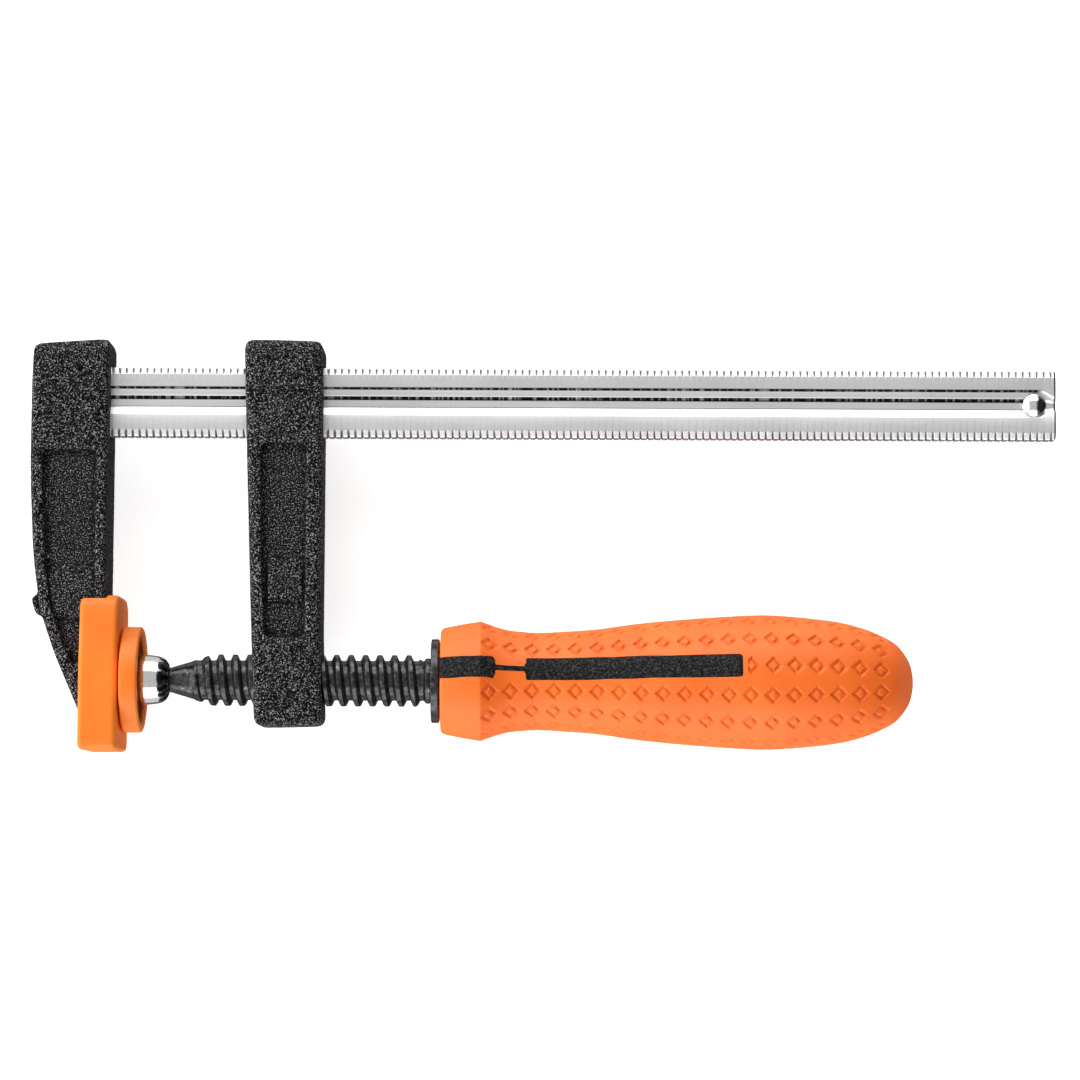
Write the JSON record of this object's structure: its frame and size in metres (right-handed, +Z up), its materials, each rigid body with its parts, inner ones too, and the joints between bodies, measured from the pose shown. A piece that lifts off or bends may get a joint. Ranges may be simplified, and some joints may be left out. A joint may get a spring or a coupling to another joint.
{
  "type": "f clamp",
  "caption": "Small F clamp: grooved steel bar, cast fixed jaw and sliding arm, screw spindle with swivel pad and a soft-inlaid turned handle.",
  "frame": {"origin": "bottom centre of the clamp's box as it lies on its side on a bench; the spindle's axis is 13.95 mm up at y = -28.05 mm, and the fixed pad's pressing face is at x = -87.4 mm", "axes": "+X along the bar from the fixed jaw to the bar's free end, +Y from the spindle to the bar, +Z up through the clamp's thickness"},
  "size_m": [0.213, 0.0857, 0.0279],
  "materials": {
    "plated_steel": "bright plated, drawn along its length",
    "black_casting": "black, fine sand-cast grain",
    "black_steel": "black oxide, lightly oiled",
    "zinc": "dull zinc plating",
    "orange_plastic": "satin moulded plastic",
    "black_soft_plastic": "matt soft-touch inlay"
  },
  "bodies": {
    "clamp_frame": {"bar": "plated_steel", "stop_pin": "plated_steel", "fixed_jaw": "black_casting", "fixed_pad_cap": "orange_plastic"},
    "sliding_arm": {"sliding_arm": "black_casting"},
    "spindle_carriage": {"handle_collar": "black_steel"},
    "swivel_pad": {"swivel_socket": "plated_steel", "pressure_disc": "zinc", "swivel_pad_cap": "orange_plastic"},
    "spindle": {"spindle": "black_steel", "handle": "orange_plastic", "handle_inlay_1": "black_soft_plastic", "handle_inlay_2": "black_soft_plastic"}
  },
  "joints": [
    {"name": "arm_slide", "type": "slide", "parent": "clamp_frame", "child": "sliding_arm", "axis": [1, 0, 0], "range_m": [0, 0.1445]},
    {"name": "spindle_feed", "type": "slide", "parent": "sliding_arm", "child": "spindle_carriage", "axis": [1, 0, 0], "range_m": [0, 0.0165]},
    {"name": "spindle_turn", "type": "hinge", "parent": "spindle_carriage", "child": "spindle", "pos_m": [-0.0213, -0.02805, 0.01395], "axis": [1, 0, 0], "range_deg": [0, 1980.5]},
    {"name": "pad_tilt", "type": "hinge", "parent": "spindle_carriage", "child": "swivel_pad", "pos_m": [-0.08045, -0.02805, 0.01395], "axis": [0, 0, 1], "range_deg": [-2, 2]}
  ],
  "couplings": [
    {"joint": "spindle_turn", "follows": "spindle_feed", "rad_per_m": 2094.4}
  ]
}
